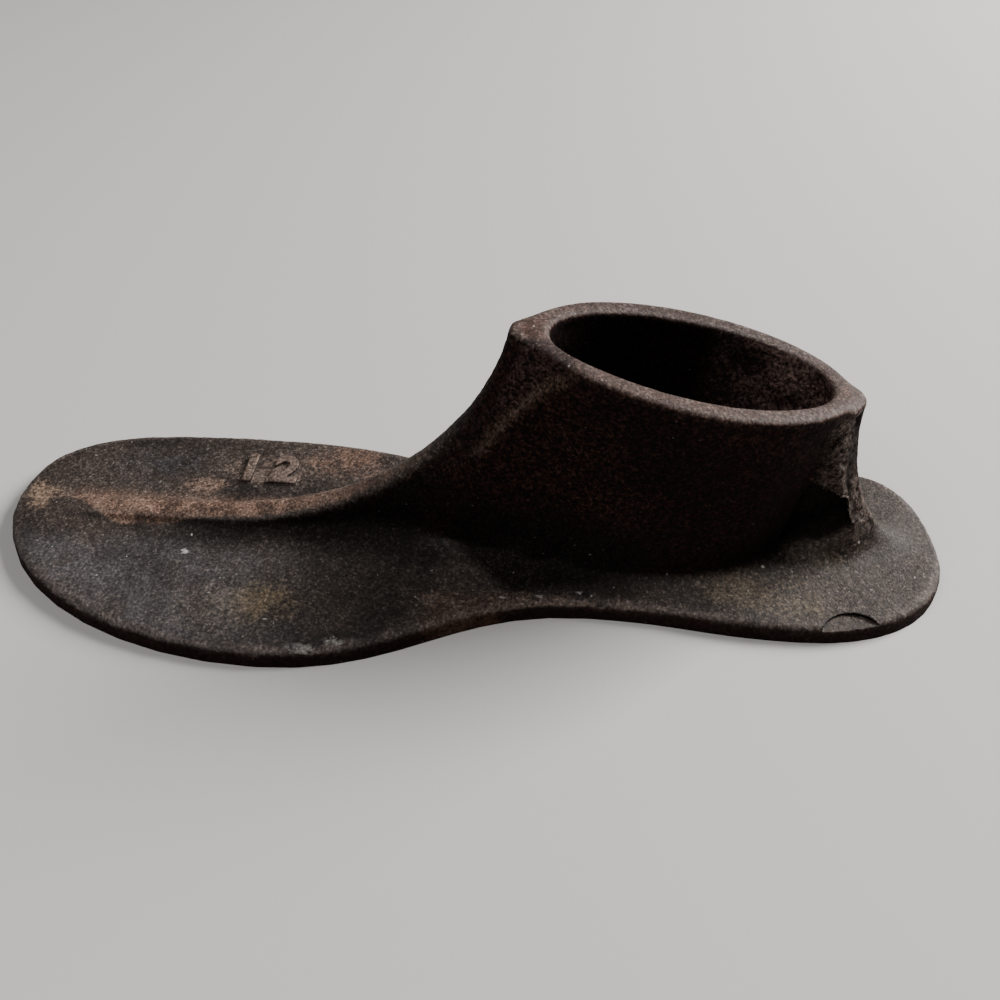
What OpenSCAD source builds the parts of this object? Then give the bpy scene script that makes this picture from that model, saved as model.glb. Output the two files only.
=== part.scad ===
// Cobbler's last of cast iron: a foot-shaped anvil with a tapered oval socket for its stand.
// X runs from the toe to the heel, Y to the inner side of the foot, and Z up from the working face.
// The origin is the middle of the sole's box, on the working face.

/* [Sole plate] */
// Length of the sole from toe tip to heel tip
sole_length = 232; // [215:1:260]
// Width of the sole across the ball of the foot
sole_width = 73.6; // [68:0.2:84]
// Thickness of the sole plate
sole_thick = 5; // [4:0.25:8]
// Radius that rounds the upper edge of the plate
edge_round = 2.2; // [1:0.1:3]
// Distance of the rib line from the middle of the sole's width
rib_line = 9; // [5:0.5:12]

// Fullness of the curves into and out of the waist on both sides
waist_fullness = 0.45; // [0.35:0.01:0.55]

/* [Outer side of the sole] */
// Toe tip to the widest point of the ball
outer_ball = 72; // [62:1:84]
// Heel tip to the narrowest point of the waist
outer_waist = 86; // [76:1:95]
// Heel tip to the widest point of the heel
outer_heel = 38; // [30:1:48]
// Rib line to the edge at the waist
outer_waist_reach = 26; // [23:0.5:29]
// Rib line to the edge at the heel
outer_heel_reach = 29.2; // [26:0.2:33]
// Fullness of the toe on this side, where 0.55 is a plain ellipse
outer_toe_fullness = 0.53; // [0.5:0.01:0.7]
// Fullness of the heel on this side, where 0.55 is a plain ellipse
outer_heel_fullness = 0.62; // [0.5:0.01:0.7]

/* [Inner side of the sole] */
// Toe tip to the widest point of the ball
inner_ball = 59; // [50:1:68]
// Heel tip to the narrowest point of the waist
inner_waist = 103; // [92:1:110]
// Heel tip to the widest point of the heel
inner_heel = 22; // [20:1:36]
// Rib line to the edge at the waist
inner_waist_reach = 21; // [20.5:0.25:24]
// Rib line to the edge at the heel
inner_heel_reach = 27.5; // [24:0.5:27.5]
// Fullness of the toe on this side, where 0.55 is a plain ellipse
inner_toe_fullness = 0.78; // [0.55:0.01:0.8]
// Fullness of the heel on this side, where 0.55 is a plain ellipse
inner_heel_fullness = 0.66; // [0.5:0.01:0.75]

/* [Socket] */
// Heel tip to the middle of the socket's mouth
mouth_from_heel = 68; // [64:1:74]
// Height of the middle of the mouth above the working face
mouth_height = 56.2; // [48:0.2:64]
// Slope of the rim, down towards the heel, in degrees
rim_slope = 9.7; // [4:0.1:14]
// Lean of the socket's middle line towards the heel, in degrees
socket_lean = 5; // [0:0.5:8]
// Length of the mouth along the slope
mouth_length = 62.4; // [56:0.2:66]
// Width of the mouth
mouth_width = 30; // [26:0.5:33]
// Width of the flat rim
rim_wall = 5; // [4:0.25:6]
// Thickness of the wall where it meets the sole
foot_wall = 5; // [4:0.25:6]
// Draft of the hollow, in degrees
hollow_draft = 4; // [2:0.25:5]
// Radius of the fillet between the wall and the sole
foot_fillet = 4.5; // [2:0.5:6]
// Radius of both edges of the rim
rim_round = 0.8; // [0.5:0.1:1.8]

/* [Instep rib] */
// Width of the rib's crest
instep_width = 8; // [6:0.5:10]
// Height of the low crest above the sole in the forefoot
instep_low_crest = 2.6; // [1.5:0.1:4]
// Toe tip to the end of the rib
instep_end = 11; // [6:1:30]
// Length over which the crest rises out of the toe
instep_fade = 24; // [12:1:28]
// Toe tip to the point where the crest begins to sweep up
instep_sweep_start = 52; // [44:1:62]
// How far the crest stands out from the front of the rim
instep_peak = 3.6; // [2:0.2:6]
// How far the rib drifts to the outer side on its way down from the rim to the forefoot
instep_drift = 4; // [0:0.5:5]
// Blend radius of the rib into the sole and the socket
instep_blend = 9; // [6:0.5:12]
// Half width at which the rib's sloping sides meet the sides of the socket
instep_shoulder = 10; // [9:0.5:14]
// Half angle between the rib's sides where they run into the rim, in degrees
instep_opening_angle = 44; // [36:1:50]

/* [Heel rib] */
// Width of the rib's crest
heel_rib_width = 7; // [5:0.5:9]
// Heel tip to the point where the crest runs out
heel_rib_end = 4; // [3:0.5:12]
// Turn of the rib towards the inner side as it runs back from the rim, in degrees
heel_rib_turn = 7; // [-8:0.5:8]
// How far the crest stands out from the back of the rim
heel_rib_peak = 2.4; // [1:0.2:4]
// Blend radius of the rib into the sole and the socket
heel_rib_blend = 6; // [4:0.5:8]
// Half width at which the rib's sloping sides meet the sides of the socket
heel_rib_shoulder = 8; // [6:0.5:9]
// Half angle between the rib's sides where they run into the rim, in degrees
heel_rib_opening_angle = 50; // [36:1:54]
// Thickness of the strut that is left between the crest and the pockets
heel_strut = 3.5; // [3:0.25:6]
// Height of the floor of the pockets above the sole, where the web meets the socket
heel_pocket_floor = 3.5; // [3:0.5:8]
// Rise of the floor of the pockets towards the heel, in degrees
heel_pocket_rise_angle = 34; // [15:1:40]
// Height of the top of the pockets above the sole, where the web meets the socket
heel_pocket_top = 30.5; // [24:0.5:32]
// Fall of the top of the pockets towards the heel, in degrees
heel_pocket_fall_angle = 30; // [0:1:35]
// Slope of the pockets, down to the sides, in degrees
heel_pocket_slope = 40; // [0:5:45]
// Radius of the corners of the pockets
heel_pocket_round = 2.5; // [2:0.5:4.5]
// Thickness of the web between the two pockets
heel_web = 2.5; // [2:0.5:6]

/* [Hidden] */

iron = "#3b332f";
iron_rubbed = "#5d4a3d";

// Points along each of the eight curves of the sole's outline
outline_steps = 10;
// Points round the socket
oval_steps = 56;
// Rings in a fillet, an edge or a nose
arc_steps = 4;
// Sections along the low run and along the upward sweep of a rib
run_steps = 7;
sweep_steps = 20;
// A fillet starts this many degrees short of lying flat, so that its edge isn't a feather
fillet_gap = 12;
// Flank draft of the ribs, in degrees
rib_draft = 6;
// Depth by which a rib's section is drawn into its neighbours before it is trimmed to them
rib_root = 9;
// How far the middle of the root lies below its sides
root_point = 1;
// Height of a crest above the sole where it runs out
crest_foot = 0.4;
// Most of a section's depth that its rounded nose takes up
nose_share = 0.4;
// How far a rib's blend opens towards the sole, in degrees
sole_turn = 78;
// Slopes of the crest between which the sides open, in degrees
roof_from_angle = 25;
roof_to_angle = 60;
// Deepest place of the eave, where the sloping flank ends, as a share of the flank's depth over the
// sole and towards the wall
sole_eave_share = 0.5;
wall_eave_share = 0.9;
// Least depth of a section's blend, as a share of its whole depth
least_blend_share = 0.1;
// How far a flank runs below the face that it meets
flank_sink = 0.1;
// How far the ribs stay under the plane of the rim, as a share of the radius of the rim's edge
rim_drop_share = 0.5;
// How far a trimming shape runs past the faces it trims to
trim_over = 1;
// How far a pocket is drawn into the foot of the socket
pocket_bite = 10;
// Turn of the heel rib's crest from level at its foot to steep at the rim, in degrees
heel_sweep = 86;

toe_x = -sole_length / 2;
heel_x = sole_length / 2;
outer_y = -sole_width / 2;
inner_y = sole_width / 2;

mouth_x = heel_x - mouth_from_heel;
foot_x = mouth_x - (mouth_height - sole_thick) * tan(socket_lean);
hollow_shrink = (mouth_height - sole_thick) * tan(hollow_draft);

mouth_half = [mouth_length / 2, mouth_width / 2];
rim_half = mouth_half + [rim_wall, rim_wall];
floor_half = mouth_half - [hollow_shrink, hollow_shrink];
foot_half = floor_half + [foot_wall, foot_wall];

// Front and back of the rim and of the wall's foot, as X and Z on the rib line
function on_rim(along) = [mouth_x + along * cos(rim_slope), mouth_height - along * sin(rim_slope)];
rim_front = on_rim(-rim_half.x);
rim_back = on_rim(rim_half.x);
foot_front = [foot_x - foot_half.x, sole_thick];
foot_back = [foot_x + foot_half.x, sole_thick];

// Each knot of the outline is a point where the edge runs along one axis, with that axis
// and the fullness of the curve that leaves it.
KNOTS = [
    [[toe_x, rib_line], [0, 1], outer_toe_fullness],
    [[toe_x + outer_ball, outer_y], [1, 0], waist_fullness],
    [[heel_x - outer_waist, rib_line - outer_waist_reach], [1, 0], waist_fullness],
    [[heel_x - outer_heel, rib_line - outer_heel_reach], [1, 0], outer_heel_fullness],
    [[heel_x, rib_line], [0, 1], inner_heel_fullness],
    [[heel_x - inner_heel, rib_line + inner_heel_reach], [1, 0], waist_fullness],
    [[heel_x - inner_waist, rib_line + inner_waist_reach], [1, 0], waist_fullness],
    [[toe_x + inner_ball, inner_y], [1, 0], inner_toe_fullness]
];

function along_axis(v, axis) = [v.x * axis.x, v.y * axis.y];
function handles(a, b) =
    let (span = b[0] - a[0])
    [a[0], a[0] + a[2] * along_axis(span, a[1]), b[0] - a[2] * along_axis(span, b[1]), b[0]];
function curve_point(h, u) =
    pow(1 - u, 3) * h[0] + 3 * u * pow(1 - u, 2) * h[1] + 3 * u * u * (1 - u) * h[2] + pow(u, 3) * h[3];
function curve_slope(h, u) =
    pow(1 - u, 2) * (h[1] - h[0]) + 2 * u * (1 - u) * (h[2] - h[1]) + u * u * (h[3] - h[2]);
function outward(h, u) =
    let (t = curve_slope(h, u))
    [t.y, -t.x] / norm(t);

// The sole's outline, drawn in from the edge by inset
function sole_outline(inset) = [
    for (k = [0 : len(KNOTS) - 1], i = [0 : outline_steps - 1])
        let (h = handles(KNOTS[k], KNOTS[(k + 1) % len(KNOTS)]), u = i / outline_steps)
        curve_point(h, u) - inset * outward(h, u)
];

function at_height(outline, z) = [for (p = outline) [p.x, p.y, z]];

// A skin over a list of rings. Point i of a ring lies across from point n - i, so an end is
// closed by strips. With hoop set, the last ring joins the first and the skin has no ends.
module loft(rings, hoop = false) {
    n = len(rings[0]);
    last = len(rings) - 1;
    half = n / 2;
    bands = [for (r = [0 : hoop ? last : last - 1]) r];
    sides = [
        for (r = bands, i = [0 : n - 1])
            let (a = r * n, b = ((r + 1) % len(rings)) * n, j = (i + 1) % n)
            each [[a + i, b + i, b + j], [a + i, b + j, a + j]]
    ];
    strips = [
        for (i = [0 : half - 1])
            let (j = n - i - 1, k = (n - i) % n)
            each concat(
                i == 0 ? [] : [[i, j, k]],
                i == half - 1 ? [] : [[i, i + 1, j]]
            )
    ];
    tip_strips = concat([[0, 1, n - 1]], [for (s = strips) if (s[0] != 0) s]);
    bottom = hoop ? [] : tip_strips;
    top = hoop ? [] : [for (s = tip_strips) [last * n + s[2], last * n + s[1], last * n + s[0]]];
    polyhedron(points = [for (r = rings) each r], faces = concat(sides, bottom, top));
}

// An oval ring whose long axis slopes down towards the heel
function oval(centre, half, slope) = [
    for (i = [0 : oval_steps - 1])
        let (turn = 360 * i / oval_steps, run = half.x * cos(turn))
        centre + [run * cos(slope), half.y * sin(turn), -run * sin(slope)]
];
function mix_rings(a, b, share) = [for (i = [0 : len(a) - 1]) a[i] * (1 - share) + b[i] * share];

MOUTH = [mouth_x, rib_line, mouth_height];
FOOT = [foot_x, rib_line, sole_thick];

// The wall's outer face at a share of its height, pushed out by spread
function wall_ring(share, spread) =
    mix_rings(
        oval(FOOT, foot_half + [spread, spread], 0),
        oval(MOUTH, rim_half + [spread, spread], rim_slope),
        share
    );
function hollow_ring(share, spread) =
    mix_rings(
        oval(FOOT, floor_half + [spread, spread], 0),
        oval(MOUTH, mouth_half + [spread, spread], rim_slope),
        share
    );

wall_rise = mouth_height - sole_thick;
fillet_base = foot_fillet * (1 - cos(fillet_gap));
function fillet_rings() = [
    for (i = [0 : arc_steps])
        let (turn = fillet_gap + (90 - fillet_gap) * i / arc_steps)
        wall_ring(
            (foot_fillet * (1 - cos(turn)) - fillet_base) / wall_rise,
            foot_fillet * (1 - sin(turn))
        )
];
function rim_edge_rings() = [
    for (i = [0 : arc_steps])
        let (turn = 90 * i / arc_steps)
        wall_ring(1 - rim_round * (1 - sin(turn)) / wall_rise, -rim_round * (1 - cos(turn)))
];
function mouth_edge_rings() = [
    for (i = [0 : arc_steps])
        let (turn = 90 * i / arc_steps)
        hollow_ring(1 - rim_round * (1 - cos(turn)) / wall_rise, rim_round * (1 - sin(turn)))
];

// The socket without its hollow, run past both ends, to which the ribs are trimmed
function raised(ring, rise) = [for (p = ring) p + [0, 0, rise]];
module socket_block() {
    outside = concat(fillet_rings(), rim_edge_rings());
    loft(concat(
        [raised(outside[0], -trim_over)],
        outside,
        [raised(outside[len(outside) - 1], trim_over)]
    ));
}

// The space that the ribs may fill: above the sole, and up to the round of the rim's outer edge
module rib_space() {
    rib_top = mouth_height - rim_round * rim_drop_share;
    over_toe = rib_top + (mouth_x - toe_x) * tan(rim_slope);
    over_heel = rib_top - (heel_x - mouth_x) * tan(rim_slope);
    translate([0, inner_y, 0])
        rotate([90, 0, 0])
            linear_extrude(sole_width)
                polygon([
                    [toe_x, sole_thick], [heel_x, sole_thick], [heel_x, over_heel], [toe_x, over_toe]
                ]);
}

// Half of a rib's section, from its crest to its root. Each point is [half width, depth].
// ground is the depth at which the flank meets its neighbour; a shallow crest narrows as a round
// one does that sinks into the sole. Over the sole the flank is steep and ends in a hollow blend.
// Towards the wall, as steep goes from 0 to 1, it opens to the half angle roof and turns square at
// the shoulder.
function half_section(crest, ground, blend, shoulder, roof, steep) =
    let (
        sunk = min(ground, crest / 2),
        width = 2 * sqrt(crest * sunk - sunk * sunk),
        opening = rib_draft + (roof - rib_draft) * steep,
        nose = min(width / 2, nose_share * ground),
        nose_turn = 90 - opening,
        tip = [width / 2 * sin(nose_turn), nose * (1 - cos(nose_turn))],
        wide = min(blend, ground) * (1 - steep),
        deep = max(min(blend, ground / 2) * (1 - steep), least_blend_share * ground),
        start = ground - deep,
        eave_share = sole_eave_share + (wall_eave_share - sole_eave_share) * steep,
        lowest_eave = tip.y + (start - tip.y) * eave_share,
        eave = min(tip.y + (shoulder - tip.x) / tan(opening), lowest_eave),
        side = tip.x + (eave - tip.y) * tan(opening)
    )
    concat(
        [for (i = [1 : arc_steps])
            let (a = nose_turn * i / arc_steps)
            [width / 2 * sin(a), nose * (1 - cos(a))]],
        [[side, eave]],
        [for (i = [0 : arc_steps])
            let (a = sole_turn * i / arc_steps)
            [side + wide * (1 - cos(a)), start + (deep + flank_sink) * sin(a) / sin(sole_turn)]],
        [[side + wide * (1 - cos(sole_turn)), ground + rib_root]]
    );

// A ring in the plane across the crest. Level is the crest's own X and Z, inward the way into the rib.
// Its root is a shallow point, so that no three points of an end lie in line.
function section_ring(level, inward, half) =
    let (
        m = len(half),
        place = function (w, d) [level.x + inward.x * d, w, level.y + inward.y * d]
    )
    concat(
        [place(0, 0)],
        [for (i = [0 : m - 1]) place(-half[i].x, half[i].y)],
        [place(0, half[m - 1].y + root_point)],
        [for (i = [m - 1 : -1 : 0]) place(half[i].x, half[i].y)]
    );

// Depth from a crest point, along inward, to the sole and to the line of the socket's wall
function depth_to_sole(level, inward) = inward.y < 0 ? (level.y - sole_thick) / -inward.y : sole_length;
function depth_to_wall(level, inward, low, high) =
    let (
        d = high - low,
        facing = inward.x * d.y - inward.y * d.x,
        gap = (level.y - low.y) * d.x - (level.x - low.x) * d.y
    )
    facing > 0 ? gap / facing : sole_length;

// How far the socket's oval falls back from its end at a distance to the side of the rib line
function oval_recess(side) = rim_half.x * (1 - sqrt(1 - pow(side / rim_half.y, 2)));

function smooth(u) = let (v = min(1, max(0, u))) v * v * (3 - 2 * v);

// Points of a crest that sweeps up from start to top on part of an ellipse. Each is the crest's own
// X and Z, with the way into the rib.
function crest_line(start, top, sweep) =
    let (
        a = (top.x - start.x) / sin(sweep),
        b = (top.y - start.y) / (1 - cos(sweep))
    )
    [
        for (i = [0 : sweep_steps])
            let (
                phi = sweep * i / sweep_steps,
                slope = [a * cos(phi), b * sin(phi)],
                t = slope / norm(slope)
            )
            [[start.x + a * sin(phi), start.y + b * (1 - cos(phi))], [t.y, -t.x]]
    ];

// Sections of a rib along its crest line. low and high are the ends of the wall's line behind it.
function sweep_rings(line, width, blend, shoulder, roof, low, high) =
    let (recess = oval_recess(shoulder))
    [
        for (p = line)
            let (
                level = p[0],
                inward = p[1],
                back = [recess * inward.x, 0],
                ground = min(
                    depth_to_sole(level, inward),
                    depth_to_wall(level, inward, low + back, high + back)
                ),
                steep = smooth((asin(inward.x) - roof_from_angle) / (roof_to_angle - roof_from_angle))
            )
            section_ring(level, inward, half_section(width, ground, blend, shoulder, roof, steep))
    ];

// A rib's section moved to the outer side, by as much of drift as its crest lies along the way from top
// to start
function drifted(ring, drift, top, start) =
    let (side = drift * smooth((top.x - ring[0].x) / (top.x - start.x)))
    [for (p = ring) p - [0, side, 0]];

module instep_rib() {
    start = [toe_x + instep_sweep_start, sole_thick + instep_low_crest];
    top = rim_front + instep_peak * [-cos(rim_slope), sin(rim_slope)];
    steep = tan(rim_slope) * (top.y - start.y) / (top.x - start.x);
    sweep = acos(steep / (1 - steep));
    low_run = [
        for (i = [0 : run_steps - 1])
            let (
                x = toe_x + instep_end + (instep_sweep_start - instep_end) * i / run_steps,
                rise = min(1, (x - toe_x - instep_end) / instep_fade),
                height = crest_foot + (instep_low_crest - crest_foot) * sin(90 * rise)
            )
            section_ring(
                [x, sole_thick + height], [0, -1],
                half_section(instep_width, height, instep_blend, instep_shoulder, instep_opening_angle, 0)
            )
    ];
    upward_run = sweep_rings(
        crest_line(start, top, sweep), instep_width, instep_blend, instep_shoulder,
        instep_opening_angle, foot_front, rim_front
    );
    rings = [for (ring = concat(low_run, upward_run)) drifted(ring, instep_drift, top, start)];
    color(iron_rubbed)
        intersection() {
            difference() {
                translate([0, rib_line, 0])
                    loft(rings);
                socket_block();
            }
            rib_space();
        }
}

// A pocket beside the heel rib, drawn in X and Z: a wedge from under the strut into the foot of the socket
module pocket_profile(line, foot) {
    first = line[0][0];
    last = line[len(line) - 1][0];
    low = sole_thick + heel_pocket_floor;
    high = sole_thick + heel_pocket_top;
    rise = tan(heel_pocket_rise_angle);
    fall = tan(heel_pocket_fall_angle);
    reach = (high - low) / (rise + fall);
    deepest = foot.x + pocket_bite;
    under_strut = [for (p = line) p[0] + heel_strut * p[1]];
    offset(r = heel_pocket_round)
        offset(delta = -heel_pocket_round)
            intersection() {
                polygon(concat(under_strut, [[deepest, last.y], [deepest, 0], [first.x, 0]]));
                polygon([
                    [deepest, low - pocket_bite * rise],
                    [deepest, high + pocket_bite * fall],
                    [foot.x - reach, low + reach * rise]
                ]);
            }
}

// The pocket on one side of the web, which slopes down to that side
module pocket(line, foot) {
    translate([0, -heel_web / 2, 0])
        multmatrix([[1, 0, 0, 0], [0, 1, 0, 0], [0, tan(heel_pocket_slope), 1, 0]])
            rotate([90, 0, 0])
                linear_extrude(sole_width / 2)
                    pocket_profile(line, foot);
}

module heel_rib() {
    start = [-(heel_x - heel_rib_end - rim_back.x), sole_thick + crest_foot];
    top = [-heel_rib_peak, rim_back.y + heel_rib_peak];
    foot = [rim_back.x - foot_back.x, foot_back.y];
    line = crest_line(start, top, heel_sweep);
    color(iron)
        intersection() {
            difference() {
                translate([rim_back.x, rib_line, 0])
                    rotate([0, 0, heel_rib_turn])
                        mirror([1, 0, 0])
                            difference() {
                                loft(sweep_rings(
                                    line, heel_rib_width, heel_rib_blend, heel_rib_shoulder,
                                    heel_rib_opening_angle, foot, [0, rim_back.y]
                                ));
                                for (side = [0, 1])
                                    mirror([0, side, 0])
                                        pocket(line, foot);
                            }
                socket_block();
            }
            rib_space();
        }
}

module sole_plate() {
    shoulder = [
        for (i = [0 : arc_steps])
            let (turn = 90 * i / arc_steps)
            at_height(
                sole_outline(edge_round * (1 - cos(turn))),
                sole_thick - edge_round * (1 - sin(turn))
            )
    ];
    color(iron) {
        linear_extrude(sole_thick - edge_round)
            polygon(sole_outline(0));
        loft(shoulder);
    }
}

module socket_wall() {
    color(iron)
        loft(concat(fillet_rings(), rim_edge_rings(), mouth_edge_rings(), [hollow_ring(0, 0)]), hoop = true);
}

sole_plate();
socket_wall();
instep_rib();
heel_rib();
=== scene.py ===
import math

import bmesh
import bpy
from mathutils import Matrix, Vector


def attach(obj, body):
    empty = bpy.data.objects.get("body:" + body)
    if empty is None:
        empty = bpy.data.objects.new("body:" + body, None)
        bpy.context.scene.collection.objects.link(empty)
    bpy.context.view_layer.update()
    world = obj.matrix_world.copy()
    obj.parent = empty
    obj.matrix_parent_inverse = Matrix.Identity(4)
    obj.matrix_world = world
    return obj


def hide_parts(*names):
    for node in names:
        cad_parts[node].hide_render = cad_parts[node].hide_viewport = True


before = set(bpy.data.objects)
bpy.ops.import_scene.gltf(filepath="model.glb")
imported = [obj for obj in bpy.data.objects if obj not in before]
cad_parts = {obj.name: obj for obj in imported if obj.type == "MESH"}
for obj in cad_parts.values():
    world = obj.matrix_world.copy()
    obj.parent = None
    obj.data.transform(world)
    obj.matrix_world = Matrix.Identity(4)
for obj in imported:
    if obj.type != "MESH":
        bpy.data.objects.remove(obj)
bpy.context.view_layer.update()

# View: a camera held above the outer side of the foot, looking down on the last as it lies on
# its working face. The turns are in degrees and the place is in millimetres.
MM = 0.001
VIEW_PLACE = (16.44, -161.90, 173.88)
VIEW_DOWN = math.radians(43.42)
VIEW_TURN = math.radians(3.02)
VIEW_ROLL = math.radians(1.24)
SENSOR = 36.0
LENS_SHARE = 0.959
NEAREST_SEEN = 10.0

ahead = Vector((
    -math.sin(VIEW_TURN) * math.cos(VIEW_DOWN),
    math.cos(VIEW_TURN) * math.cos(VIEW_DOWN),
    -math.sin(VIEW_DOWN),
))
level = Vector((math.cos(VIEW_TURN), math.sin(VIEW_TURN), 0))
upright = level.cross(ahead)
right = math.cos(VIEW_ROLL) * level + math.sin(VIEW_ROLL) * upright
up = math.cos(VIEW_ROLL) * upright - math.sin(VIEW_ROLL) * level
aimed = Matrix((right, up, -ahead)).transposed().to_4x4()
camera = bpy.data.objects.new("camera", bpy.data.cameras.new("camera"))
camera.data.sensor_width = SENSOR
camera.data.lens = SENSOR * LENS_SHARE
camera.data.clip_start = NEAREST_SEEN * MM
camera.matrix_world = Matrix.Translation(Vector(VIEW_PLACE) * MM) @ aimed
bpy.context.collection.objects.link(camera)
bpy.context.scene.camera = camera


# Casting: plate, socket wall and both ribs are one piece of grey iron, poured in a sand mould, so
# they run into one another without a seam. It is poured thicker than it ends up, and its working
# face is ground flat at the end. The mesh is laid with the rim level, so its rows follow the rim.
CASTING_NODES = ("sole_plate", "socket_wall", "instep_rib", "heel_rib")
MESH_STEP = 0.68
GROUND_OFF = 2.0
WELD = 0.001
RIM_SLOPE = math.radians(9.7)


def finished_mesh(piece):
    """Gives the piece the mesh that its modifiers make, and takes the modifiers away."""
    graph = bpy.context.evaluated_depsgraph_get()
    mesh = bpy.data.meshes.new_from_object(piece.evaluated_get(graph))
    piece.modifiers.clear()
    piece.data = mesh


pattern = bmesh.new()
for node in CASTING_NODES:
    solid = bmesh.new()
    solid.from_mesh(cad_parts[node].data)
    bmesh.ops.remove_doubles(solid, verts=solid.verts, dist=WELD * MM)
    for vert in solid.verts:
        if vert.co.z < WELD * MM:
            vert.co.z = -GROUND_OFF * MM
    shell = bpy.data.meshes.new(node)
    solid.to_mesh(shell)
    pattern.from_mesh(shell)
pattern_mesh = bpy.data.meshes.new("pattern")
pattern.to_mesh(pattern_mesh)
pattern_piece = bpy.data.objects.new("pattern", pattern_mesh)
bpy.context.collection.objects.link(pattern_piece)

rim_level = Matrix.Rotation(-RIM_SLOPE, 4, "Y")
casting = bpy.data.objects.new("casting", pattern_mesh.copy())
bpy.context.collection.objects.link(casting)
casting.data.transform(rim_level)
poured = casting.modifiers.new("poured", "REMESH")
poured.mode = "VOXEL"
poured.voxel_size = MESH_STEP * MM
finished_mesh(casting)
casting.data.transform(rim_level.inverted())


# Skin of the casting: the mould's sand left it wavy and pitted, ragged where the mould crumbled at
# the heel rib. The ribs melt into the socket, and a low shoulder marks the line. For each of its
# coordinates a zone gives where it starts and is full, then where it is last full and ends, in mm.
IN_MM = (1 / MM, 1 / MM, 1 / MM)
RIB_LINE = 9.0
RIB_DRIFT = 4.0
RIB_DRIFT_RUN = (8.8, -64.0)
HEEL_RIB_TOP = 83.7
HEEL_RIB_TURN = 0.123
MOUTH_MIDDLE = (48.0, 56.2)
CHIP_CENTRE = (90.2, -22.3, 0.0)
SHOULDER_CENTRE = (82.2, 0.0, -9.5)
SHOULDER_RADIUS = 90.0
RIM_ZONE = {"over_rim": (-4, -2), "x": (-2, 4)}
FRONT_MELT = {"x": (-16, -4, 28, 42), "aside": (4.5, 8), "z": (6.5, 11), "over_rim": (-2.5, -5)}
BACK_MELT = {"x": (68, 74, 88, 96), "aside": (3.5, 6), "z": (34, 38, 45, 49)}
SILL_MELT = {"x": (66, 72, 100, 106), "aside": (4, 6, 18, 24), "z": (4.6, 5.2, 13, 17)}
FOOT_MELT = {"x": (97, 101), "aside": (10, 7), "z": (4.6, 5.0, 10, 13)}
LEANING_WALL = {"x": (4, 14, 78, 86), "y": (9, -4), "z": (18, 52)}
LEAN_RUN = (60, 28)
LEAN_WAY = (0, 1, 0)
SHOULDER_ZONE = {"beyond": (-0.6, 1.6, 2, 12), "aside": (5, 8), "x": (24, 20), "z": (30, 36)}
STRUT_SIDES = {
    "x": (74, 80, 96, 102), "z": (10, 15, 46, 50),
    "aside": (1.5, 3, 9, 11), "sideways": (0.2, 0.6),
}
ABOVE_FACE = (0.4, 1.6)
WAVES = (0.3, 0.7)
PITS = (0.4, 0.7)
CRUMBS = (0.35, 0.65)
RIM_SOFTNESS = 0.5
RIM_SAND = 0.1
SKIN_SIZES = {
    "Wave Size": 16.0, "Wave Depth": 0.28, "Pit Size": 2.2, "Pit Depth": 0.12,
    "Crumble Size": 3.0, "Crumble Depth": 0.8, "Shoulder Depth": 0.9,
    "Lean": 1.0, "Front Lean": 0.9, "Seed": 4.0,
}
SOFT_PASSES = 4
MELT_PASSES = 70
EDGE_PASSES = 24


class Field:
    """One output of a node tree. Sums and products of fields add their Math nodes to the tree."""

    def __init__(self, socket):
        self.socket = socket
        self.tree = socket.id_data

    @staticmethod
    def node(tree, kind, settings=None, inputs=None, out=0):
        """Adds any node: its settings first, then the values or fields of its sockets."""
        node = tree.nodes.new(kind)
        for name, value in (settings or {}).items():
            setattr(node, name, value)
        for name, value in (inputs or {}).items():
            if isinstance(value, Field):
                tree.links.new(value.socket, node.inputs[name])
            else:
                node.inputs[name].default_value = value
        return Field(node.outputs[out])

    def math(self, operation, *others):
        inputs = dict(enumerate((self,) + others))
        return Field.node(self.tree, "ShaderNodeMath", {"operation": operation}, inputs)

    def __add__(self, other):
        return self.math("ADD", other)

    __radd__ = __add__

    def __sub__(self, other):
        return self.math("SUBTRACT", other)

    def __rsub__(self, other):
        settings = {"operation": "SUBTRACT"}
        return Field.node(self.tree, "ShaderNodeMath", settings, {0: other, 1: self})

    def __mul__(self, other):
        return self.math("MULTIPLY", other)

    __rmul__ = __mul__

    def __truediv__(self, other):
        return self.math("DIVIDE", other)

    def rise(self, low, high):
        """0 at low, 1 at high and smooth between them; low may be the greater."""
        if low > high:
            return 1 - self.rise(high, low)
        settings = {"interpolation_type": "SMOOTHSTEP"}
        return Field.node(self.tree, "ShaderNodeMapRange", settings, {0: self, 1: low, 2: high})

    def least(self, other):
        return self.math("MINIMUM", other)

    def most(self, other):
        return self.math("MAXIMUM", other)


def noise(tree, place, size, detail, rough, seed):
    """Noise with lumps about as wide as size, in the units of place. It runs from 0 to 1."""
    settings = {"noise_dimensions": "4D"}
    fineness = size.math("POWER", -1.0) if isinstance(size, Field) else 1 / size
    inputs = {"Vector": place, "W": seed, "Scale": fineness, "Detail": detail, "Roughness": rough}
    return Field.node(tree, "ShaderNodeTexNoise", settings, inputs)


def axes(tree, place):
    """The three coordinates of a place."""
    split = Field.node(tree, "ShaderNodeSeparateXYZ", None, {0: place}).socket.node
    return [Field(split.outputs[i]) for i in range(3)]


def scaled(tree, place, by):
    """A place or a colour with each of its three values multiplied."""
    settings = {"operation": "MULTIPLY"}
    return Field.node(tree, "ShaderNodeVectorMath", settings, {0: place, 1: by})


def reach(tree, place, centre):
    """Distance of a place from a centre."""
    settings = {"operation": "DISTANCE"}
    return Field.node(tree, "ShaderNodeVectorMath", settings, {0: place, 1: centre}, "Value")


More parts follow.
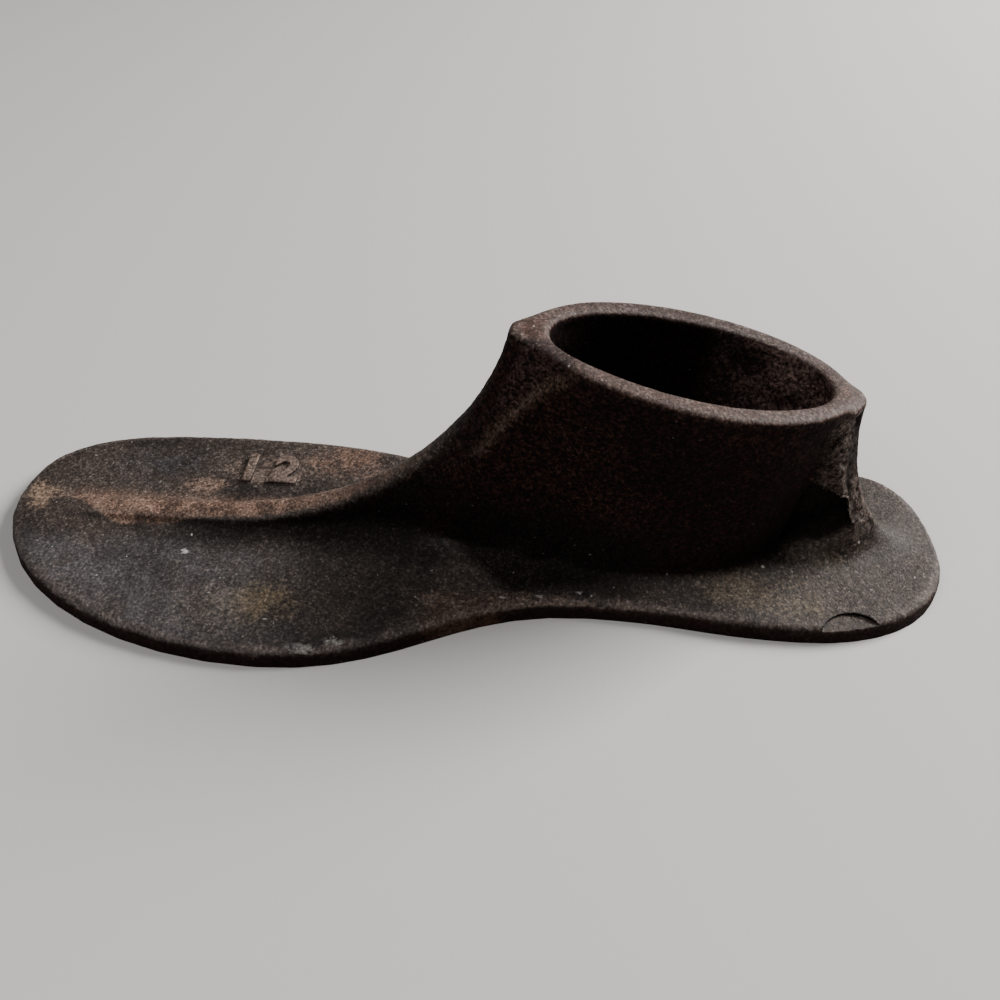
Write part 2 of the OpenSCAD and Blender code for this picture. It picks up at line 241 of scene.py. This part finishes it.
def spans(tree, place):
    """The coordinates that zones are given in: the plain ones, the distance from the line of the
    ribs, which bends at both ends, the height over the rim, the distance beyond the shoulder and
    the distance from the middle of the lost flake."""
    x, y, z = axes(tree, place)
    bend = HEEL_RIB_TURN * (x - HEEL_RIB_TOP).most(0.0) - RIB_DRIFT * x.rise(*RIB_DRIFT_RUN)
    across = y - RIB_LINE - bend
    from_side = scaled(tree, place, (1, 0, 1))
    from_above = scaled(tree, place, (1, 1, 0))
    return {
        "x": x, "y": y, "z": z, "across": across, "aside": across.math("ABSOLUTE"),
        "over_rim": z - MOUTH_MIDDLE[1] + (x - MOUTH_MIDDLE[0]) * math.tan(RIM_SLOPE),
        "beyond": reach(tree, from_side, SHOULDER_CENTRE) - SHOULDER_RADIUS,
        "from_chip": reach(tree, from_above, CHIP_CENTRE),
    }


def within(zone, at):
    """1 in a zone and 0 outside it, with smooth edges, for the spans that at gives."""
    share = None
    for name, ends in zone.items():
        part = at[name].rise(ends[0], ends[1])
        if len(ends) > 2:
            part = part * at[name].rise(ends[3], ends[2])
        share = part if share is None else share * part
    return share


skin = bpy.data.node_groups.new("sand_skin", "GeometryNodeTree")
skin.interface.new_socket("Casting", in_out="INPUT", socket_type="NodeSocketGeometry")
skin_sockets = {
    name: skin.interface.new_socket(name, in_out="INPUT", socket_type=kind).identifier
    for name, kind in [(size, "NodeSocketFloat") for size in SKIN_SIZES]
    + [("Iron", "NodeSocketMaterial"), ("Pattern", "NodeSocketObject")]
}
skin.interface.new_socket("Casting", in_out="OUTPUT", socket_type="NodeSocketGeometry")
given = {
    socket.name: Field(socket)
    for socket in skin.nodes.new("NodeGroupInput").outputs if socket.name
}

metres = Field.node(skin, "GeometryNodeInputPosition")
facing = Field.node(skin, "GeometryNodeInputNormal")
place = scaled(skin, metres, IN_MM)
at = spans(skin, place)
at["sideways"] = axes(skin, facing)[1].math("ABSOLUTE")
near_rim = within(RIM_ZONE, at)


def blurred(passes, weight=1.0):
    """The surface's own place, averaged with its neighbours."""
    settings = {"data_type": "FLOAT_VECTOR"}
    inputs = {"Value": metres, "Iterations": passes, "Weight": weight}
    return Field.node(skin, "GeometryNodeBlurAttribute", settings, inputs, "Value")


def placed(geometry, position):
    """The geometry with its points at other places."""
    inputs = {"Geometry": geometry, "Position": position}
    return Field.node(skin, "GeometryNodeSetPosition", None, inputs)


def moved(geometry, depth, along):
    """The geometry with its points moved along a direction by so many millimetres."""
    inputs = {0: along, "Scale": depth * MM}
    offset = Field.node(skin, "ShaderNodeVectorMath", {"operation": "SCALE"}, inputs)
    inputs = {"Geometry": geometry, "Offset": offset}
    return Field.node(skin, "GeometryNodeSetPosition", None, inputs)


pattern_faces = Field.node(skin, "GeometryNodeObjectInfo", None, {0: given["Pattern"]}, "Geometry")
nearest = Field.node(
    skin, "GeometryNodeProximity", {"target_element": "FACES"}, {0: pattern_faces}, "Position"
)
trued = placed(given["Casting"], nearest)
softened = placed(trued, blurred(SOFT_PASSES, 1 - (1 - RIM_SOFTNESS) * near_rim))
melt = within(FRONT_MELT, at).most(within(BACK_MELT, at))
melt = melt.most(within(SILL_MELT, at)).most(within(FOOT_MELT, at))
melted = placed(softened, blurred(MELT_PASSES, melt))
lean = within(LEANING_WALL, at) * (given["Lean"] + at["x"].rise(*LEAN_RUN) * given["Front Lean"])
leaning = moved(melted, lean, LEAN_WAY)

seed = given["Seed"]
wave = noise(skin, place, given["Wave Size"], detail=1.0, rough=0.5, seed=seed)
pit = noise(skin, place, given["Pit Size"], detail=2.0, rough=0.6, seed=seed)
crumble = noise(skin, place, given["Crumble Size"], detail=3.0, rough=0.6, seed=seed)
depth = wave.rise(*WAVES) * given["Wave Depth"] + pit.rise(*PITS) * given["Pit Depth"]
depth = depth + within(STRUT_SIDES, at) * crumble.rise(*CRUMBS) * given["Crumble Depth"]
depth = depth + within(SHOULDER_ZONE, at) * given["Shoulder Depth"]
depth = depth * at["z"].rise(*ABOVE_FACE) * (1 - (1 - RIM_SAND) * near_rim)
sanded = moved(leaning, depth * -1, facing)

stand = Field.node(
    skin, "ShaderNodeVectorMath", {"operation": "SUBTRACT"}, {0: metres, 1: blurred(EDGE_PASSES)}
)
proud = Field.node(
    skin, "ShaderNodeVectorMath", {"operation": "DOT_PRODUCT"}, {0: stand, 1: facing}, "Value"
)
proud_stored = Field.node(
    skin, "GeometryNodeStoreNamedAttribute", {"data_type": "FLOAT", "domain": "POINT"},
    {"Geometry": sanded, "Name": "proud", "Value": proud / MM},
)
real = Field.node(skin, "GeometryNodeRealizeInstances", None, {0: proud_stored})
coated = Field.node(
    skin, "GeometryNodeSetMaterial", None, {"Geometry": real, "Material": given["Iron"]}
)
skin.links.new(coated.socket, skin.nodes.new("NodeGroupOutput").inputs[0])

# Iron: the skin is a dark brown, rubbed to rust along the crest of the rib by a century of
# handling, greyer on the heel and the rim, with dust in the sand's pits. The walls are painted
# nearly black as shade. Zones are given as for the skin, with a few more coordinates, such as how
# far up a face looks.
WALL_SHADE_BLACK = (0.0036, 0.0015, 0.0011)
WALL_SHADE_BROWN = (0.020, 0.0086, 0.0062)
TOP_BLACK = (0.012, 0.0095, 0.0085)
TOP_BROWN = (0.044, 0.032, 0.026)
FOREFOOT_GREY = (0.059, 0.053, 0.053)
SLATE = (0.030, 0.027, 0.028)
HEEL_GREY = (0.044, 0.034, 0.0285)
RIM_BROWN = (0.066, 0.036, 0.028)
RUST = (0.252, 0.156, 0.112)
DARK_RUST = (0.080, 0.043, 0.029)
STRUT_TAN = (0.095, 0.072, 0.060)
SHOULDER_HIGHLIGHT = (0.075, 0.048, 0.035)
INSIDE_LIT_BROWN = (0.135, 0.085, 0.072)
FLANK_LIT_BROWN = (0.036, 0.021, 0.0185)
EDGE_BROWN = (0.0125, 0.0066, 0.0052)
NUMBER_BROWN = (0.135, 0.095, 0.075)
CHIP_BROWN = (0.105, 0.068, 0.050)
HEEL_TAN = (0.100, 0.076, 0.050)
TOE_TAN = (0.185, 0.124, 0.083)
OCHRE = (0.190, 0.138, 0.075)
WORN_EDGE_AND_HIGHLIGHT = (0.105, 0.080, 0.070)
DUST = (0.13, 0.105, 0.090)
SPARKLE = (0.20, 0.17, 0.15)
PAINT = (0.40, 0.38, 0.35)
PIT_AND_SHADE_BLACK = (0.005, 0.004, 0.0036)

# Each noise has its size in millimetres, its detail, its roughness and its seed.
CLOUDS = (26.0, 4.0, 0.6, 1.0)
BLOTCHES = (6.0, 5.0, 0.65, 2.0)
SAND = (0.9, 3.0, 0.7, 3.0)
GRIT = (0.5, 2.0, 0.6, 5.0)
SPARKLES = (0.55, 1.0, 0.5, 7.0)
SPECKS = (1.1, 0.0, 0.5, 9.0)
GRAINS = (0.6, 1.0, 0.5, 11.0)

# Where the colours change: at lines, ovals and zones, some of them ragged by so many millimetres.
NOISE_MIDDLE = 0.5
RAGGEDNESS = 2.4
RAGGED_END = 8.0
RAGGED_RIB = -3.0
RAGGED_FOOT = 2.5
RAGGED_CREST = (0.6, 4.0)
RAGGED_MARK = 1.3
# Lines on the plate where the soot and painted shade beside the socket wall end.
FRONT_FOOT = {"point": (-9.9, 7.6), "slope": -0.97}
SIDE_FOOT = {"point": (11.6, -13.3), "slope": 0.21}
CREST_STEPS = ((2.2, (-80, -62)), (8.5, (-86, -104)))
SOCKET_FOOT = (43.1, RIB_LINE)
SOCKET_HALF = (27.3, 11.1)
SOCKET_LEAN = 0.0875
SOCKET_DRAFT = 0.07
STRUT_CENTRE = (112.0, 56.0)
STRUT_HALF = (26.0, 50.6)
UPWARD = {"up": (0.25, 0.85)}
SHINY = {"up": (0.3, 0.8)}
LOW_RIB = {"x": (-60, -74), "z": (4.8, 5.4, 8.5, 10)}
SILL = {"x": (72, 78, 100, 106), "z": (4.8, 5.4, 12, 17), "aside": (3, 5)}
SILL_SHARE = 0.85
FRONT_WALL = {"x": (36, 20), "z": (16, 28)}
FRONT_WALL_SHARE = 0.9
FOREFOOT = {"x": (-15, -70), "across": (-5, -16)}
HEEL = {"x": (60, 88), "z": (13, 7)}
BESIDE_RIB = {
    "across": (-3.0, -4.4), "off_rib": (-15, -6), "x": (-82, -60, -14, -2), "z": (32, 22),
}
BESIDE_WALL = {"off_wall": (-5, 1.5), "x": (-26, -10, 70, 84), "z": (26, 14), "across": (-3, -6)}
RIB_SOOT_AND_SHADE = 0.85
WALL_SOOT_AND_SHADE = 0.92
PLATE_EDGE = {"z": (4.4, 3.4)}
RUSTY_EDGE = {"x": (-10, -4, 6, 12), "y": (-14, -18), "z": (5.8, 4.6)}
RIM = {"over_rim": (-1.9, -0.7), "x": (0, 6), "up": (0.1, 0.55)}
FAR_SIDE = {"y": (14, 24)}
CREST = {"near_crest": (-5.4, -4.2), "far_crest": (9, 2)}
CREST_TOP = {"up": (0.55, 0.85)}
RUBBED = {"along": (-112, -96, -36, 0)}
PROUD = {"proud": (0.15, 0.5), "z": (0.4, 1.5)}
MARKED = {"up": (0.4, 0.7), "z": (12, 9)}
MARK_FADE = (0.9, 0.2)
INSIDE = {"off_socket": (1.10, 1.04), "over_rim": (-0.3, -1.0)}
HEEL_END = {"x": (50, 72)}
CHIP_LINE = {"from_chip": (7.4, 7.8, 8.1, 8.4), "y": (-26, -22), "z": (2.5, 3.2, 6, 7)}
FIGURES = {"x": (-66, -65, -42, -41), "y": (16, 17, 29, 30), "z": (5.4, 5.8)}
STRUT = {"x": (76, 82, 97, 104), "z": (9, 16, 46, 51), "aside": (11, 7)}
STRUT_SHADE = {"x": (82, 85), "aside": (5.5, 3.0), "z": (28, 36, 46, 49)}
OVER_CREASE = {"x": (25, 20), "z": (30, 36), "across": (-3, -5)}
FLANK = {"beyond": (-1.0, 3.0)}
CREASE = {"beyond": (-2.4, 0.2, 0.2, 2.4)}
CAVE = {"off_strut": (1.06, 1.12), "x": (74, 77), "z": (8, 10, 35, 38), "aside": (6.5, 4.5)}
CAVE_FLOOR = {"x": (72, 76, 90, 96), "z": (13, 9), "aside": (7, 3)}

# Marks on the plate: the middle, half the length and half the width, the colour and the strength.
MARKS = (
    ((-109.5, 9.5), (6.0, 8.0), TOE_TAN, 0.9),
    ((-86.0, 20.5), (21.0, 9.0), SLATE, 0.8),
    ((-69.0, 15.5), (9.0, 4.5), RUST, 0.55),
    ((-54.0, 22.5), (16.0, 9.0), NUMBER_BROWN, 0.7),
    ((-34.0, 28.0), (14.0, 8.0), DARK_RUST, 0.8),
    ((-34.0, 28.0), (14.0, 8.0), RUST, 0.18),
    ((-44.5, -22.0), (11.0, 8.0), OCHRE, 0.6),
    ((-57.0, -24.0), (12.0, 9.0), DUST, 0.6),
    ((-33.5, -34.2), (4.0, 1.5), PAINT, 0.35),
    ((-26.5, -32.0), (3.0, 1.4), PAINT, 0.45),
    ((-67.4, -7.9), (1.3, 1.0), PAINT, 1.0),
    ((9.5, -16.3), (1.4, 0.7), PAINT, 0.6),
    ((18.5, -15.2), (1.8, 0.7), PAINT, 0.6),
    ((27.5, -13.4), (1.4, 0.7), PAINT, 0.6),
    ((72.0, -10.0), (24.0, 9.0), HEEL_TAN, 0.55),
    ((84.0, 1.5), (12.0, 5.0), HEEL_TAN, 0.4),
    ((90.2, -25.5), (11.0, 9.0), CHIP_BROWN, 0.75),
    # Painted light: a lighter strip on the plate along the near foot of the socket wall.
    ((18.0, -18.5), (34.0, 4.5), NUMBER_BROWN, 0.75),
)
# Single grains that are lighter or darker than the colour around them, by their noise.
GRAIN_TONES = ((2.6, (0.53, 0.66)), (0.3, (0.47, 0.36)))

# The Mix node's sockets for colours.
MIX_COLOURS = (6, 7)
MIX_RESULT = 2

iron = bpy.data.materials.new("old_cast_iron")
iron.use_nodes = True
tree = iron.node_tree
tree.nodes.clear()


def laid(below, above, share, strength=1.0):
    """One colour laid over another by a share of the strength."""
    inputs = {0: share * strength}
    for socket, colour in zip(MIX_COLOURS, (below, above)):
        inputs[socket] = colour if isinstance(colour, Field) else colour + (1.0,)
    return Field.node(tree, "ShaderNodeMix", {"data_type": "RGBA"}, inputs, MIX_RESULT)


def broken(field, run, least):
    """A share that is 1 where the run of a field ends and the least where it starts."""
    return least + (1 - least) * field.rise(*run)


def by_facing(side, top):
    """One share on what faces aside and another on what faces up."""
    return side + (top - side) * upward


def spared(share, by):
    """What is left where a share takes some of it away."""
    return 1 - by * share


def oval(off_x, off_y):
    """Distance from the middle of an oval: 1 on its line."""
    return (off_x * off_x + off_y * off_y).math("SQRT")


def off_line(point, slope):
    """Distance along Y from a slanting line on the plate."""
    return y - point[1] - slope * (x - point[0])


coords = Field.node(tree, "ShaderNodeTexCoord", None, None, "Object")
normal = Field.node(tree, "ShaderNodeTexCoord", None, None, "Normal")
spot = scaled(tree, coords, IN_MM)
clouds = noise(tree, spot, *CLOUDS)
blotch = noise(tree, spot, *BLOTCHES)
sand = noise(tree, spot, *SAND)
grit = noise(tree, spot, *GRIT)
grain = noise(tree, spot, *GRAINS)
patches = 0.6 * blotch + 0.4 * sand
ragged = RAGGEDNESS * (patches - NOISE_MIDDLE)

at = spans(tree, spot)
x, y, z, across = (at[name] for name in ("x", "y", "z", "across"))
at["up"] = axes(tree, normal)[2]
at["proud"] = Field.node(tree, "ShaderNodeAttribute", {"attribute_name": "proud"}, None, "Fac")
at["along"] = x + RAGGED_END * ragged
at["off_rib"] = across + RAGGED_RIB * ragged
at["off_wall"] = off_line(**FRONT_FOOT).least(off_line(**SIDE_FOOT)) + RAGGED_FOOT * ragged
at["near_crest"] = across + RAGGED_CREST[0] * ragged
for step, run in CREST_STEPS:
    at["near_crest"] = at["near_crest"] - step * x.rise(*run)
at["far_crest"] = across + RAGGED_CREST[1] * ragged
at["off_socket"] = oval(
    (x - SOCKET_FOOT[0] - SOCKET_LEAN * z) / (SOCKET_HALF[0] + SOCKET_DRAFT * z),
    (y - SOCKET_FOOT[1]) / (SOCKET_HALF[1] + SOCKET_DRAFT * z),
)
at["off_strut"] = oval(
    (x - STRUT_CENTRE[0]) / STRUT_HALF[0], (z - STRUT_CENTRE[1]) / STRUT_HALF[1]
)
low_rib = within(LOW_RIB, at)
upward = within(UPWARD, at).most(low_rib).most(SILL_SHARE * within(SILL, at))

front_wall = FRONT_WALL_SHARE * within(FRONT_WALL, at)
brown = broken(clouds, run=(0.38, 0.68), least=0.3).most(front_wall)
# Painted shade: faces that look aside get the near-black wall colours, faces that look up the
# tops'.
walls_in_painted_shade = laid(WALL_SHADE_BLACK, WALL_SHADE_BROWN, brown * sand.rise(0.42, 0.60))
tops = laid(TOP_BLACK, TOP_BROWN, clouds.rise(0.3, 0.65))
forefoot = within(FOREFOOT, at) * broken(blotch, run=(0.38, 0.62), least=0.4)
tops = laid(tops, FOREFOOT_GREY, forefoot)
heel = within(HEEL, at) * broken(blotch, run=(0.3, 0.7), least=0.6)
tops = laid(tops, HEEL_GREY, heel)
colour = laid(walls_in_painted_shade, tops, upward)

# Soot and painted shade on the plate beside the rib and along the foot of the socket wall.
soot_and_shade = (RIB_SOOT_AND_SHADE * within(BESIDE_RIB, at)).most(WALL_SOOT_AND_SHADE * within(BESIDE_WALL, at))
colour = laid(colour, PIT_AND_SHADE_BLACK, soot_and_shade)
edge = within(PLATE_EDGE, at) * broken(blotch, run=(0.35, 0.6), least=0.5)
colour = laid(colour, EDGE_BROWN, edge * (1 - upward))
rusty_edge = within(RUSTY_EDGE, at) * broken(patches, run=(0.38, 0.58), least=0.25)
colour = laid(colour, DARK_RUST, rusty_edge, strength=0.6)

rim = within(RIM, at)
colour = laid(colour, RIM_BROWN, rim * broken(blotch, run=(0.3, 0.65), least=0.75))
# Painted shade on the far side of the rim.
colour = laid(colour, PIT_AND_SHADE_BLACK, rim * within(FAR_SIDE, at), strength=0.38)

crest = within(CREST, at) * within(CREST_TOP, at).most(low_rib)
rust = laid(DARK_RUST, RUST, (0.5 * blotch + 0.5 * grit).rise(0.42, 0.60))
rubbed = crest * within(RUBBED, at) * patches.rise(0.30, 0.52)
colour = laid(colour, rust, rubbed, strength=0.9)

# Worn edges, with a painted highlight on the edges that look up.
worn_and_highlight = within(PROUD, at) * broken(blotch, run=(0.35, 0.6), least=0.35)
worn_and_highlight = worn_and_highlight * broken(sand, run=(0.42, 0.58), least=0.45)
colour = laid(colour, WORN_EDGE_AND_HIGHLIGHT, worn_and_highlight * by_facing(side=0.1, top=0.8))

mottled = within(MARKED, at) * broken(0.6 * sand + 0.4 * blotch, run=(0.42, 0.56), least=0.15)
for middle, half, mark_colour, strength in MARKS:
    off = oval((x - middle[0]) / half[0], (y - middle[1]) / half[1]) - RAGGED_MARK * ragged
    colour = laid(colour, mark_colour, off.rise(*MARK_FADE) * mottled, strength)

# Painted shade inside the socket, and painted light on its inner wall at the heel end.
inside = within(INSIDE, at)
outside = 1 - inside
colour = laid(colour, WALL_SHADE_BLACK, inside, strength=0.75)
inside_painted_light = inside * within(HEEL_END, at) * broken(blotch, run=(0.3, 0.65), least=0.15)
colour = laid(colour, INSIDE_LIT_BROWN, inside_painted_light * broken(sand, run=(0.4, 0.6), least=0.3))
# Painted shade along the step of the lost flake.
colour = laid(colour, PIT_AND_SHADE_BLACK, within(CHIP_LINE, at), strength=0.45)
figures_brown = within(FIGURES, at) * broken(sand, run=(0.4, 0.55), least=0.4375)
colour = laid(colour, NUMBER_BROWN, figures_brown, strength=0.8)

strut = within(STRUT, at) * outside
colour = laid(colour, STRUT_TAN, strut * patches.rise(0.38, 0.62), strength=0.95)
colour = laid(colour, PIT_AND_SHADE_BLACK, within(STRUT_SHADE, at) * outside, strength=0.8)
# Painted shade on the flank beyond the shoulder, with painted light growing towards the rim, and a
# painted highlight along the shoulder's crease.
over_crease = within(OVER_CREASE, at) * outside
flank = over_crease * within(FLANK, at)
colour = laid(colour, WALL_SHADE_BLACK, flank, strength=0.75)
flank_painted_light = flank * broken(z, run=(36, 52), least=0.25)
colour = laid(colour, FLANK_LIT_BROWN, flank_painted_light * sand.rise(0.40, 0.56))
crease_highlight = over_crease * within(CREASE, at) * broken(sand, run=(0.42, 0.58), least=0.35)
colour = laid(colour, SHOULDER_HIGHLIGHT, crease_highlight, strength=0.6)

clear_of_soot_and_shade = spared(soot_and_shade, by=0.8)
dust = sand.rise(0.50, 0.66) * broken(clouds, run=(0.35, 0.65), least=0.4)
dust = dust * by_facing(side=0.06, top=1.0) * clear_of_soot_and_shade
dust = dust * spared(rim, by=0.6) * spared(flank, by=0.8)
colour = laid(colour, DUST, dust, strength=0.5)
# Light grains and painted glints on the faces that look up.
sparkle = noise(tree, spot, *SPARKLES).rise(0.62, 0.74) * upward * clear_of_soot_and_shade
sparkle = sparkle * broken(clouds, run=(0.4, 0.6), least=0.3)
colour = laid(colour, SPARKLE, sparkle, strength=0.55)
colour = laid(colour, PIT_AND_SHADE_BLACK, sand.rise(0.50, 0.36) * by_facing(side=0.6, top=0.3))
grainy = by_facing(side=0.6, top=0.52) * spared(edge, by=0.6)
for tone, run in GRAIN_TONES:
    toned = scaled(tree, colour, (tone, tone, tone))
    colour = laid(colour, toned, grain.rise(*run) * grainy)
specks = noise(tree, spot, *SPECKS).rise(0.83, 0.86)
colour = laid(colour, PAINT, specks * by_facing(side=0.15, top=0.65))
# Painted shade in the pocket under the heel rib.
cave_shade = within(CAVE, at).most(within(CAVE_FLOOR, at)) * outside
colour = laid(colour, PIT_AND_SHADE_BLACK, cave_shade, strength=0.9)

height = 0.6 * sand + 0.4 * grit
bump = Field.node(
    tree, "ShaderNodeBump", None,
    {"Strength": 0.8, "Distance": 0.5 * MM, "Height": height}, "Normal",
)
sooty = Field.node(tree, "ShaderNodeBsdfPrincipled", None, {
    "Base Color": colour, "Normal": bump, "Roughness": 0.9, "Specular IOR Level": 0.05,
})
handled_roughness = 0.62 + 0.2 * (blotch - NOISE_MIDDLE) + 0.15 * dust
handled = Field.node(tree, "ShaderNodeBsdfPrincipled", None, {
    "Base Color": colour, "Normal": bump,
    "Roughness": handled_roughness, "Specular IOR Level": 0.18,
})
shiny = within(SHINY, at) * (1 - soot_and_shade.most(cave_shade))
surface = Field.node(tree, "ShaderNodeMixShader", None, {0: shiny, 1: sooty, 2: handled})
tree.links.new(surface.socket, tree.nodes.new("ShaderNodeOutputMaterial").inputs["Surface"])

sand_skin = casting.modifiers.new("sand_skin", "NODES")
sand_skin.node_group = skin
for name, value in SKIN_SIZES.items():
    sand_skin[skin_sockets[name]] = value
sand_skin[skin_sockets["Iron"]] = iron
sand_skin[skin_sockets["Pattern"]] = pattern_piece
finished_mesh(casting)
bpy.data.objects.remove(pattern_piece)
casting.data.polygons.foreach_set("use_smooth", [True] * len(casting.data.polygons))

# Size number: plain figures that were cut into the pattern, so they stand proud of the plate
# on the far side of the rib and are of one piece with it.
SIZE_NUMBER = "12"
NUMBER_PLACE = (-62.5, 18.0, 5.0)
NUMBER_HEIGHT = 9.5
CAPITAL_SHARE = 0.7
NUMBER_WEIGHT = 0.2
NUMBER_ROUND = 0.35
NUMBER_ROUND_STEPS = 2
NUMBER_CURVE_STEPS = 6
NUMBER_SPACING = 1.4
NUMBER_RAISE = 1.0
NUMBER_SINK = 1.5

letters = bpy.data.curves.new("size_number", "FONT")
letters.body = SIZE_NUMBER
letters.size = NUMBER_HEIGHT / CAPITAL_SHARE * MM
letters.offset = NUMBER_WEIGHT * MM
letters.bevel_depth = NUMBER_ROUND * MM
letters.bevel_resolution = NUMBER_ROUND_STEPS
letters.space_character = NUMBER_SPACING
letters.extrude = ((NUMBER_RAISE + NUMBER_SINK) / 2 - NUMBER_ROUND) * MM
letters.resolution_u = NUMBER_CURVE_STEPS
number = bpy.data.objects.new("size_number", letters)
bpy.context.collection.objects.link(number)
graph = bpy.context.evaluated_depsgraph_get()
figures = bmesh.new()
figures.from_mesh(bpy.data.meshes.new_from_object(number.evaluated_get(graph)))
bpy.data.objects.remove(number)
bmesh.ops.remove_doubles(figures, verts=figures.verts, dist=WELD * MM)
bmesh.ops.recalc_face_normals(figures, faces=figures.faces)
lift = Vector((0, 0, (NUMBER_RAISE - NUMBER_SINK) / 2))
bmesh.ops.translate(figures, verts=figures.verts, vec=(Vector(NUMBER_PLACE) + lift) * MM)


def combined(piece, shape, operation):
    """Adds a closed shape to the piece, or cuts it out, and leaves the piece a plain mesh."""
    mesh = bpy.data.meshes.new("shape")
    shape.to_mesh(mesh)
    mesh.materials.append(iron)
    holder = bpy.data.objects.new("shape", mesh)
    bpy.context.collection.objects.link(holder)
    step = piece.modifiers.new(operation.lower(), "BOOLEAN")
    step.operation = operation
    step.solver = "EXACT"
    step.object = holder
    finished_mesh(piece)
    bpy.data.objects.remove(holder)


combined(casting, figures, "UNION")

# Lost flake: a shallow round bite that broke out of the plate's upper edge at the heel. Its floor
# falls towards the edge.
CHIP_RADIUS = 8.0
CHIP_DEPTH = 0.9
CHIP_FALL = math.radians(5.0)
CHIP_SIDES = 40
CHIP_CUT = 8.0
PLATE_TOP = 5.0

flake = bmesh.new()
bmesh.ops.create_cone(
    flake, cap_ends=True, segments=CHIP_SIDES, depth=CHIP_CUT * MM,
    radius1=CHIP_RADIUS * MM, radius2=CHIP_RADIUS * MM,
)
floor_height = PLATE_TOP - CHIP_DEPTH - CHIP_RADIUS * math.sin(CHIP_FALL)
set_in = Matrix.Translation((Vector(CHIP_CENTRE) + Vector((0, 0, floor_height))) * MM)
lifted = Matrix.Translation(Vector((0, 0, CHIP_CUT / 2)) * MM)
flake.transform(set_in @ Matrix.Rotation(CHIP_FALL, 4, "X") @ lifted)
combined(casting, flake, "DIFFERENCE")

# Working face: the underside of the plate, ground flat. What the casting has below the face is cut
# away, and one flat face closes the cut. Many-sided faces are split first, so that none overlap.
MOST_SIDES = 4

ground = bmesh.new()
ground.from_mesh(casting.data)
many_sided = [face for face in ground.faces if len(face.verts) > MOST_SIDES]
bmesh.ops.triangulate(ground, faces=many_sided)
cut = bmesh.ops.bisect_plane(
    ground, geom=ground.verts[:] + ground.edges[:] + ground.faces[:],
    plane_co=(0, 0, 0), plane_no=(0, 0, 1), clear_inner=True,
)
outline = [side for side in cut["geom_cut"] if isinstance(side, bmesh.types.BMEdge)]
for side in outline:
    for vert in side.verts:
        vert.co.z = 0.0
for face in bmesh.ops.edgeloop_fill(ground, edges=outline)["faces"]:
    face.smooth = False
    if face.normal.z > 0:
        face.normal_flip()
ground.to_mesh(casting.data)
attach(casting, "root")
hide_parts(*CASTING_NODES)

# Floor: a plain pale sheet under the last, so that its dark outline stands clear. Its half width
# is in metres.
FLOOR_HALF = 3.0
FLOOR_COLOUR = (0.52, 0.50, 0.48, 1.0)
FLOOR_ROUGHNESS = 0.9

floor_mesh = bpy.data.meshes.new("floor")
corners = ((-1, -1), (1, -1), (1, 1), (-1, 1))
floor_corners = [(FLOOR_HALF * i, FLOOR_HALF * j, 0) for i, j in corners]
floor_mesh.from_pydata(floor_corners, [], [(0, 1, 2, 3)])
floor = bpy.data.objects.new("floor", floor_mesh)
bpy.context.collection.objects.link(floor)
pale = bpy.data.materials.new("pale_floor")
pale.use_nodes = True
pale.node_tree.nodes["Principled BSDF"].inputs["Base Color"].default_value = FLOOR_COLOUR
pale.node_tree.nodes["Principled BSDF"].inputs["Roughness"].default_value = FLOOR_ROUGHNESS
floor_mesh.materials.append(pale)

# Light: a broad window behind and above the heel, and the room's weak light from all round. Each
# lamp has its place and width in metres and its power in watts.
LAMPS = {
    "window": ((1.0, 0.52, 0.75), 0.6, 41.0),
    "sky": ((-0.45, -0.4, 1.0), 0.8, 7.0),
}
ROOM_WHITE = (1, 1, 1, 1)
ROOM_LIGHT = 0.07

for name, (lamp_place, width, power) in LAMPS.items():
    lamp = bpy.data.lights.new(name, "AREA")
    lamp.size = width
    lamp.energy = power
    holder = bpy.data.objects.new(name, lamp)
    holder.location = lamp_place
    holder.rotation_euler = (-Vector(lamp_place)).to_track_quat("-Z", "Y").to_euler()
    bpy.context.collection.objects.link(holder)
world = bpy.data.worlds.new("room")
world.use_nodes = True
world.node_tree.nodes["Background"].inputs["Color"].default_value = ROOM_WHITE
world.node_tree.nodes["Background"].inputs["Strength"].default_value = ROOM_LIGHT
bpy.context.scene.world = world
